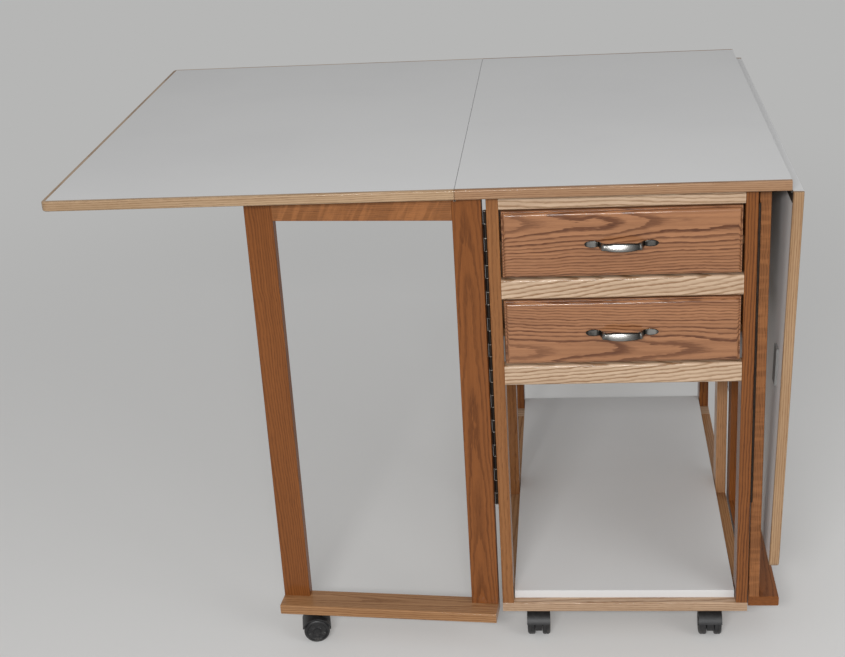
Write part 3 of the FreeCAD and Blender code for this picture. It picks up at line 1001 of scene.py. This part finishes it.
@dataclass
class KnuckleLips:
    """Rims at both ends of every fixed knuckle of a long hinge; their bright finish is partly
    rubbed plating and partly a painted highlight on the knuckle ends.
    """

    name: str
    points: np.ndarray
    pin: np.ndarray
    pin_axis: np.ndarray
    radius: float
    pitch: float = 25.4 * MM
    play: float = 0.3 * MM
    width: float = 1.2 * MM
    lift: float = 0.2 * MM
    hollow: float = 0.9
    across: int = 5
    around: int = 20

    def build(self, material: bpy.types.Material) -> bpy.types.Object:
        """Rims along the pin.

        The knuckles share the length evenly, an odd number of them, and every other one is fixed.
        A rim is a flat-topped bead: its section's height over the knuckle is one less the fourth
        power of the place across its width, spun round the pin.

        Args:
            material: the rims' finish.

        Returns:
            The piece.
        """
        height = (self.points - self.pin) @ self.pin_axis
        length = height.max() - height.min()
        count = max(3, round(length / self.pitch))
        count = count + 1 - count % 2
        step = length / count
        across = np.linspace(-1.0, 1.0, self.across)
        angle = circle(self.around)
        reach = (self.radius + self.lift * (1.0 - across ** 4) - self.lift / 2)[:, None]
        rise = (across * self.width / 2)[:, None]
        shape = np.broadcast_arrays(reach * np.cos(angle), reach * np.sin(angle), rise)
        outer = np.stack(shape, -1)
        inner = outer[::-1] * (self.hollow, self.hollow, 1.0)
        ring = Skin.looped(np.concatenate([outer, inner]))
        axes = frame_of(self.pin_axis, np.array((1.0, 0.0, 0.0)))
        knuckles = np.arange(0, count, 2) * step + height.min()
        inset = self.play / 2 + self.width / 2
        spots = np.concatenate([knuckles + inset, knuckles + step - inset])
        rims = [ring.placed(axes, self.pin + self.pin_axis * spot) for spot in spots]
        return Skin.joined(rims).piece(self.name, material, "cabinet")


@dataclass
class LongHinge:
    """Details of one long hinge: screws in both its flaps and rims on its fixed knuckles."""

    body: str
    joint: str
    fixed_flaps: str
    knuckle: float
    head: ScrewHead
    near: float = 0.1

    def build(self, steel: bpy.types.Material, worn: bpy.types.Material) -> None:
        """Sets rims and screws; of the two flaps in the fixed node, the one near the pin counts.

        Args:
            steel: the screws' finish.
            worn: the rims' finish.
        """
        joint = joint_named(self.joint)
        pin, axis = np.array(joint["pos_m"]), np.array(joint["axis"], float)
        both = corners(self.fixed_flaps)
        fixed = both[np.abs(both[:, 0] - pin[0]) < self.near]
        moving = corners(self.body + "_hinge_flap")
        KnuckleLips(self.body + "_knuckle_lips", fixed, pin, axis, self.knuckle).build(worn)
        for kind, body, flap in (("fixed", "cabinet", fixed), ("moving", self.body, moving)):
            name = f"{self.body}_{kind}_screws"
            FlapScrews(name, body, flap, pin, axis, self.head).build(steel)


def dress_hinges(kind: str, steel: bpy.types.Material) -> None:
    """Dresses the flaps and pins of the gates' or the leaves' long hinges."""
    for label in ("{}_fixed_flaps", "{}_hinge_pins", "left_{}_hinge_flap", "right_{}_hinge_flap"):
        dress(label.format(kind), steel)


class Film:
    """Painted shade and dark reflections on a pull, as a darker tone: where each share starts and
    is full, and how dark it is there; only the necks' share is partly patina in a hollow.
    """

    EDGES, EDGES_DARK = (0.55, 0.95), 0.8
    REAR = (0.0, 0.6)
    NECK_FROM, NECK_TO = (0.5, 0.58), (0.74, 0.64)
    TIP, TIP_DARK, NECK_DARK = (0.7, 0.95), 0.7, 0.95
    ENDS_FROM, ENDS_TO = (0.2, 0.5), (0.66, 0.6)
    HALF, HALF_DARK, BAR_DARK = (-0.05, 0.35), 0.8, 0.5
    SOLE, SOLE_DARK, SOLE_UNEVEN = (0.0, 0.3), 0.3, 0.25
    BEAD_BRIGHT = 0.8


@dataclass
class DrawerPull:
    """Bowed pull with spoon feet, in place of a packed pull node."""

    drawer: str
    # Which end of the pull gets the darker sole: a painted reflection and shade.
    worn_end: float = 1.0
    stations: int = 160
    around: int = 32
    bar_to: float = 0.5
    foot_from: float = 0.635
    middle_width: float = 0.98
    end_width: float = 0.68
    neck_pinch: float = 0.1
    foot_width: float = 0.84
    foot_widest: float = 0.42
    foot_rise: float = 0.07
    end_rise: float = 0.8
    foot_thickness: float = 3.4 * MM
    bar_thickness: float = 5.4 * MM
    lean: float = 0.3
    square: float = 0.67
    bead: float = 1.0 * MM
    bead_length: float = 0.03
    dish: float = 0.3
    dish_from: Span = (0.1, 0.5)
    dish_to: Span = (0.98, 0.6)
    open_tip: float = 0.999
    neck_from: float = 0.94
    thin_tip: float = 0.5
    thin_from: float = 0.7
    lean_room: float = 0.6
    crease: float = 55.0

    def skin(self, low: Vector, high: Vector) -> Skin:
        """Ovals carried along the bow.

        The bow's standoff is low on the feet, climbs in the necks and crowns over the bar; the
        oval's width swells on the feet to a blunt tip, is narrow in the necks, has a bead at each
        end of the bar and swells as a parabola to its middle. The bar's face leans up by a shear,
        and the feet are dished.

        Args:
            low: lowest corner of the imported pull.
            high: its highest corner.

        Returns:
            The pull's skin.
        """
        half = (high.x - low.x) / 2
        full = (high.z - low.z) / 2
        share = np.sin(np.linspace(-0.5, 0.5, self.stations) * np.pi * self.open_tip)
        away = np.abs(share)
        bar = np.clip(away / self.bar_to, 0.0, 1.0)
        foot = np.clip((away - self.foot_from) / (1.0 - self.foot_from), 0.0, 1.0)
        neck = ease(away, self.bar_to * self.neck_from, self.foot_from)
        bead = np.exp(-((away - self.bar_to) / self.bead_length) ** 2) * self.bead
        blunt = (foot - self.foot_widest) / (1.0 - self.foot_widest)
        spoon = np.sqrt(np.clip(1.0 - blunt ** 2, 0.0, 1.0)) * self.foot_width
        bowed = self.end_width + (self.middle_width - self.end_width) * (1.0 - bar ** 2)
        pinched = np.minimum(bowed, 1.0 - self.neck_pinch * neck)
        wide = full * np.where(away > self.foot_from, spoon, pinched) + bead
        thick = self.bar_thickness + (self.foot_thickness - self.bar_thickness) * neck
        thick = thick * (1.0 - self.thin_tip * ease(foot, self.thin_from, 1.0)) / 2 + bead
        reach = high.y - low.y - self.bar_thickness / 2 - self.lean * full * self.lean_room
        level = 1.0 - (1.0 - self.end_rise) * bar ** 2
        stand = reach * (level + (self.foot_rise - level) * neck)
        line = np.stack([half * share, -stand], -1)
        run = np.gradient(line, axis=0)
        run = run / np.linalg.norm(run, axis=1, keepdims=True)
        cosine, sine = np.cos(circle(self.around)), np.sin(circle(self.around))
        dished = ease(foot, *self.dish_from) * ease(foot, *self.dish_to)
        dish = np.clip(cosine, 0.0, 1.0) ** 2 * dished[:, None]
        up = np.sign(sine) * np.abs(sine) ** self.square * wide[:, None]
        out = np.sign(cosine) * np.abs(cosine) ** self.square * thick[:, None]
        out = out - dish * self.foot_thickness * self.dish - up * self.lean * (1.0 - neck)[:, None]
        x = line[:, :1] + out * run[:, 1:]
        y = np.minimum(line[:, 1:] - out * run[:, :1], 0.0)
        middle = np.array([(low.x + high.x) / 2, high.y, (low.z + high.z) / 2])
        # The beads are spared most of the dark tone, so that they read bright: a painted highlight.
        bright_beads = 1.0 - Film.BEAD_BRIGHT * bead / self.bead
        film = self.film(share, foot, cosine, sine) * bright_beads[:, None]
        return Skin.wrapped(np.stack([x, y, up], -1) + middle, film)

    def film(self, share: np.ndarray, foot: np.ndarray, cosine: np.ndarray,
             sine: np.ndarray) -> np.ndarray:
        """Darker tone over the pull, nearly all of it painted shade and dark reflection.

        A sum of smooth steps: along the edges and the rear, in the necks and on the tips of the
        feet, at the ends of the bar, over one half of the bar, and on the soles, more at one end.

        Args:
            share: place along the pull, from -1 to 1.
            foot: place along a foot, from 0 at its neck to 1 at its tip.
            cosine: cosine of the angle round the oval, 1 in front.
            sine: its sine, 1 at the top.

        Returns:
            Darkness from 0 to 1, by station and point on the oval.
        """
        away = np.abs(share)
        # Darker along the edges and rear, at the bar's ends, over one half of the bar, on the foot
        # tips and more on one sole: painted shade and dark reflections; in the necks it is partly
        # patina.
        edge = ease(np.abs(sine), *Film.EDGES) * Film.EDGES_DARK + ease(-cosine, *Film.REAR)
        waist = ease(away, *Film.NECK_FROM) * ease(away, *Film.NECK_TO)
        waist = waist + Film.TIP_DARK * ease(foot, *Film.TIP)
        ends = ease(away, *Film.ENDS_FROM) * ease(away, *Film.ENDS_TO)
        half = Film.HALF_DARK * ease(share, *Film.HALF) * (away < self.foot_from)
        uneven = Film.SOLE_DARK + Film.SOLE_UNEVEN * self.worn_end * share
        sole = ease(foot, *Film.SOLE) * uneven
        lengthwise = Film.NECK_DARK * waist + Film.BAR_DARK * (ends + half) + sole
        return np.clip(edge + lengthwise[:, None], 0.0, 1.0)

    def build(self, material: bpy.types.Material) -> bpy.types.Object:
        """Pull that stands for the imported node.

        Args:
            material: its finish.

        Returns:
            The piece.
        """
        node = self.drawer + "_pull"
        skin = self.skin(*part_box(node))
        piece = skin.piece(self.drawer + "_bowed_pull", material, self.drawer, self.crease)
        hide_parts(node)
        return piece


# Half section of a wheel: mm back from its outer face or out from its inner one; share of radius.
WHEEL_FACE = (
    (1.2, 0.02), (0.2, 0.05), (0.0, 0.16), (0.3, 0.24), (1.8, 0.27), (1.8, 0.33), (1.0, 0.36),
    (1.0, 0.42), (1.0, 0.48), (1.0, 0.54), (1.0, 0.6), (1.0, 0.66), (1.0, 0.7), (1.9, 0.73),
    (1.9, 0.77), (0.5, 0.8), (0.7, 0.85), (1.6, 0.92), (3.0, 0.972), (4.4, 0.994), (5.4, 1.0),
    (6.6, 1.0), (6.9, 0.985), (7.7, 0.985), (8.0, 1.0), (10.6, 1.0))
WHEEL_BACK = ((2.6, 0.994), (1.2, 0.972), (0.3, 0.93), (0.0, 0.88), (0.0, 0.2), (0.0, 0.02))


@dataclass
class TwinWheels:
    """Pair of moulded wheels on one caster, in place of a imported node."""

    spot: str
    around: int = 96
    pockets: int = 6
    pocket_depth: float = 1.0 * MM
    pocket_from: Span = (0.37, 0.43)
    pocket_to: Span = (0.7, 0.64)
    pocket_walls: Span = (-0.35, 0.1)
    inner: float = 7.0 * MM
    width: float = 15.0 * MM
    face_from: float = 0.6
    crease: float = 32.0

    def profile(self, radius: float) -> np.ndarray:
        """Half section of a wheel from its axle outwards and back along its inner face.

        Args:
            radius: the wheel's radius.

        Returns:
            Rows of distance along the axle from the inner face, radius.
        """
        face, back = np.array(WHEEL_FACE), np.array(WHEEL_BACK)
        face[:, 0] = self.width - face[:, 0] * MM
        back[:, 0] = back[:, 0] * MM
        return np.concatenate([face, back]) * (1.0, radius)

    def skin(self, radius: float) -> Skin:
        """Wheel as its half section spun round the axle.

        Over the middle of the radius the outer face sinks in pockets, where the cosine of the angle
        times their count is high.

        Args:
            radius: the wheel's radius.

        Returns:
            The wheel along +x from its inner face.
        """
        section = self.profile(radius)
        along, reach = section[:, :1], section[:, 1:]
        angle = circle(self.around)
        share = reach / radius
        outer = along > self.width * self.face_from
        ring = ease(share, *self.pocket_from) * ease(share, *self.pocket_to) * outer
        sunk = ring * ease(np.cos(self.pockets * angle), *self.pocket_walls) * self.pocket_depth
        shape = np.broadcast_arrays(along - sunk, reach * np.cos(angle), reach * np.sin(angle))
        return Skin.wrapped(np.stack(shape, -1))

    def build(self, material: bpy.types.Material) -> bpy.types.Object:
        """Both wheels of the caster.

        Args:
            material: their finish.

        Returns:
            The piece.
        """
        node = self.spot + "_caster_wheels"
        joint = joint_named(self.spot + "_wheel_spin")
        hub, axle = np.array(joint["pos_m"]), np.array(joint["axis"])
        up = np.array((0.0, 0.0, 1.0))
        wheel = self.skin(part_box(node)[1].z / 2)
        pair = []
        for side in (-1.0, 1.0):
            axes = np.stack([axle * side, np.cross(up, axle * side), up], 1)
            pair.append(wheel.placed(axes, hub + axle * side * self.inner))
        skin = Skin.joined(pair)
        piece = skin.piece(self.spot + "_twin_wheels", material, self.spot + "_wheels", self.crease)
        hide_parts(node)
        return piece


@dataclass
class Casters:
    """Six twin-wheel casters."""

    spots: tuple[str, ...] = (
        "front_left", "front_right", "rear_left", "rear_right", "left_gate", "right_gate")

    def build(self) -> None:
        """Dresses the hoods and builds the wheels."""
        hood, wheel = HOOD_NYLON.material(), WHEEL_NYLON.material()
        for spot in self.spots:
            dress(spot + "_caster_hood", hood)
            TwinWheels(spot).build(wheel)


@dataclass
class Cabinet:
    """Posts, rails, base boards, shelf and runners."""

    upright: tuple[str, ...] = ("front_stile", "middle_post", "rear_stile", "side_rail")
    paler: dict[str, Oak] = field(default_factory=lambda: {
        "left_front_stile": FLECKED_OAK, "left_middle_post": FLECKED_OAK,
        "right_middle_post": POST_OAK})
    rails: dict[str, Sawn] = field(default_factory=lambda: {
        "top_front_rail": Sawn(30.0 * MM, -34.0 * MM, 0.03, 0.0, 8.0 * MM),
        "middle_front_rail": Sawn(26.0 * MM, -95.0 * MM, -0.15, 0.0, 18.0 * MM, 1.7),
        "lower_front_rail": Sawn(30.0 * MM, -70.0 * MM, -0.09, 0.0, 12.0 * MM, 1.3)})
    bases: dict[str, Oak] = field(default_factory=lambda: {
        "front_base_board": BASE_OAK, "rear_base_board": BASE_OAK, "side_base_boards": FOOT_OAK})

    def build(self) -> None:
        """Dresses every fixed board."""
        for side in ("left", "right"):
            for label in self.upright:
                board = Board(f"{side}_{label}")
                finish = self.paler.get(board.node, FRAME_OAK)
                dress(board.node, finish.material(board, Cut.RIFT.sawn(board)))
        for node, sawn in self.rails.items():
            dress(node, STRAW_OAK.material(Board(node), sawn))
        rear = Board("rear_rails", grain=0)
        dress(rear.node, STRAW_OAK.material(rear, Cut.FLAT.sawn(rear)))
        for node, finish in self.bases.items():
            board = Board(node)
            dress(node, finish.material(board, Cut.FLAT.sawn(board)))
        dress("bottom_shelf", LAMINATE.material())
        runners = Board("drawer_runners", grain=1)
        dress(runners.node, RUNNER_WOOD.material(runners, Cut.RIFT.sawn(runners)))


@dataclass
class Drawers:
    """Two drawers: routed fronts, boxes and bowed pulls."""

    cathedrals: dict[str, float] = field(
        default_factory=lambda: {"upper_drawer": 36.0 * MM, "lower_drawer": -34.0 * MM})
    pith_depth: float = 46.0 * MM
    taper: float = 0.03
    sway: float = 13.0 * MM
    box_board: float = 15.0 * MM

    def build(self) -> None:
        """Dresses the fronts and boxes, and builds the pulls."""
        nickel = NICKEL.material()
        for name, aside in self.cathedrals.items():
            front = Board(name + "_front")
            sawn = Sawn(self.pith_depth, aside, 0.0, self.taper, self.sway)
            dress(front.node, RED_OAK.material(front, sawn))
            box = Board(name + "_box")
            inside = Strips(Joinery.BOXED, 0.0, float(box.size[1]) / 2 - self.box_board)
            dress(box.node, BOX_WOOD.material(box, Cut.RIFT.sawn(box), inside))
            DrawerPull(name, math.copysign(1.0, aside)).build(nickel)


@dataclass
class Gates:
    """Two swinging gates and their long hinges."""

    boards: tuple[str, ...] = ("hinge_stile", "free_stile", "top_rail", "foot_board")
    curly: tuple[tuple[str, str], ...] = (("left", "top_rail"), ("right", "hinge_stile"))
    straight: tuple[str, ...] = ("free_stile",)
    curl: float = 0.5
    plain: dict[tuple[str, str], Oak] = field(
        default_factory=lambda: {("left", "foot_board"): FOOT_OAK})
    head: ScrewHead = ScrewHead(3.1 * MM, 0.5 * MM)
    knuckle: float = 3.0 * MM

    def build(self) -> None:
        """Dresses the boards and hinges, and sets the hinge screws."""
        steel, worn = STEEL.material(), WORN_AND_GLINT_STEEL.material()
        turns = {"left": turn_from_limit("left_gate_swing"), "right": Matrix.Identity(3)}
        for side, turn in turns.items():
            for label in self.boards:
                board = Board(f"{side}_gate_{label}", turn)
                if (side, label) in self.curly:
                    finish, sawn = CURLY_OAK, Cut.RIFT.sawn(board, self.curl)
                else:
                    cut = Cut.RIFT if label in self.straight else Cut.FLAT
                    finish, sawn = self.plain.get((side, label), GATE_OAK), cut.sawn(board)
                dress(board.node, finish.material(board, sawn))
            gate = side + "_gate"
            hinge = LongHinge(gate, gate + "_swing", "gate_fixed_flaps", self.knuckle, self.head)
            # The right gate's rims take the plain dark steel instead of the bright rim finish:
            # painted shade on that hinge.
            hinge.build(steel, worn if side == "left" else steel)
        dress_hinges("gate", steel)


@dataclass
class Tops:
    """Centre top and two leaves: white panels, oak edging, rest pads and long hinges."""

    head: ScrewHead = ScrewHead(2.6 * MM, 0.5 * MM)
    knuckle: float = 1.85 * MM
    band: Sawn = Sawn(26.0 * MM, 6.0 * MM, 0.0, 0.012, 6.0 * MM)

    def build(self) -> None:
        """Dresses the panels and edging, and sets the hinge screws."""
        white, steel, worn = LAMINATE.material(), STEEL.material(), WORN_AND_GLINT_STEEL.material()
        rubber = REST_RUBBER.material()
        for node in ("centre_top_panel", "left_leaf_panel", "right_leaf_panel"):
            dress(node, white)
        edging = Board("centre_top_edging", grain=0)
        pair = Strips(Joinery.PAIRED, 0.0, float(edging.size[1]) / 2)
        dress(edging.node, BAND_OAK.material(edging, self.band, pair))
        turns = {"left": Matrix.Identity(3), "right": turn_from_limit("right_leaf_raise")}
        for side, turn in turns.items():
            edging = Board(f"{side}_leaf_edging", turn)
            outward = 1.0 if side == "right" else -1.0
            half_long, half_wide = (float(size) / 2 for size in edging.size[:2])
            mitred = Strips(Joinery.MITRED, half_long, half_wide, outward)
            finish = WARM_LEAF_OAK if side == "right" else LEAF_OAK
            dress(edging.node, finish.material(edging, self.band, mitred))
            dress(f"{side}_leaf_rest_pad", rubber)
        for body, joint in (("left_leaf", "left_leaf_lift"), ("right_leaf", "right_leaf_raise")):
            LongHinge(body, joint, "leaf_fixed_flaps", self.knuckle, self.head).build(steel, worn)
        dress_hinges("leaf", steel)


@dataclass(frozen=True)
class Lamp:
    """A soft lamp with a square or oblong face."""

    name: str
    place: tuple[float, float, float]
    aim: tuple[float, float, float]
    wide: float
    tall: float
    power: float

    def build(self) -> None:
        """Hangs the lamp and points it."""
        data = bpy.data.lights.new(self.name, "AREA")
        data.shape, data.energy = "RECTANGLE", self.power
        data.size, data.size_y = self.wide, self.tall
        thing = add_object(self.name, data)
        thing.location = self.place
        thing.rotation_mode = "QUATERNION"
        thing.rotation_quaternion = (Vector(self.aim) - Vector(self.place)).to_track_quat("-Z", "Y")


@dataclass
class Studio:
    """Pale floor, soft lamps and the camera at the photograph's viewing angle."""

    place: tuple[float, float, float] = (0.272514, -2.933676, 1.6922)
    pitch: float = 22.614
    yaw: float = -6.306
    roll: float = -3.558
    focal_pixels: float = 1519.9
    image_width: float = 845.0
    sensor: float = 36.0
    floor_half: float = 30.0
    floor_lines: int = 5
    sky: float = 0.38
    lamps: tuple[Lamp, ...] = (
        Lamp("key", (-0.05, -3.7, 2.15), (0.25, 0.0, 0.6), 1.4, 0.45, 78.0),
        Lamp("fill", (2.8, -2.4, 1.9), (0.2, 0.0, 0.5), 1.6, 1.6, 22.0),
    )

    def build(self) -> None:
        """Sets floor, light and camera."""
        self.lay_floor()
        for lamp in self.lamps:
            lamp.build()
        world = bpy.data.worlds.new("studio_air")
        world.use_nodes = True
        back = world.node_tree.nodes["Background"]
        back.inputs["Color"].default_value = (1.0, 1.0, 1.0, 1.0)
        back.inputs["Strength"].default_value = self.sky
        bpy.context.scene.world = world
        bpy.context.scene.view_settings.view_transform = "Standard"
        self.set_camera()

    def lay_floor(self) -> None:
        """Flat pale floor under the casters, as a coarse grid."""
        steps = np.linspace(-self.floor_half, self.floor_half, self.floor_lines)
        x, y = np.meshgrid(steps, steps, indexing="ij")
        index = np.arange(x.size).reshape(x.shape)
        quads = np.stack([index[:-1, :-1], index[1:, :-1], index[1:, 1:], index[:-1, 1:]], -1)
        points = np.stack([x, y, np.zeros_like(x)], -1)
        mesh = bpy.data.meshes.new("studio_floor")
        mesh.from_pydata(points.reshape(-1, 3), [], quads.reshape(-1, 4))
        mesh.materials.append(Floor().material())
        floor = add_object("studio_floor", mesh)

    def set_camera(self) -> None:
        """Camera from its place, its turn about the upright, its dip and its roll."""
        yaw, pitch, roll = (math.radians(a) for a in (self.yaw, self.pitch, self.roll))
        flat = math.cos(pitch)
        forward = Vector((math.sin(yaw) * flat, math.cos(yaw) * flat, -math.sin(pitch)))
        right = Vector((math.cos(yaw), -math.sin(yaw), 0.0))
        up = right.cross(forward)
        level = Matrix((right, up, -forward)).transposed()
        data = bpy.data.cameras.new("photo_camera")
        data.sensor_fit, data.sensor_width = "HORIZONTAL", self.sensor
        data.lens = self.focal_pixels / self.image_width * self.sensor
        camera = add_object("photo_camera", data)
        turned = level @ Matrix.Rotation(roll, 3, "Z")
        camera.matrix_world = Matrix.Translation(self.place) @ turned.to_4x4()
        bpy.context.scene.camera = camera


def main() -> None:
    """Dresses and builds the sub-assemblies in order."""
    logging.basicConfig(level=logging.INFO, format="%(message)s")
    for assembly in (Tops(), Cabinet(), Drawers(), Gates(), Casters(), Studio()):
        LOG.info("%s", type(assembly).__name__)
        assembly.build()


if __name__ == "__main__":
    main()
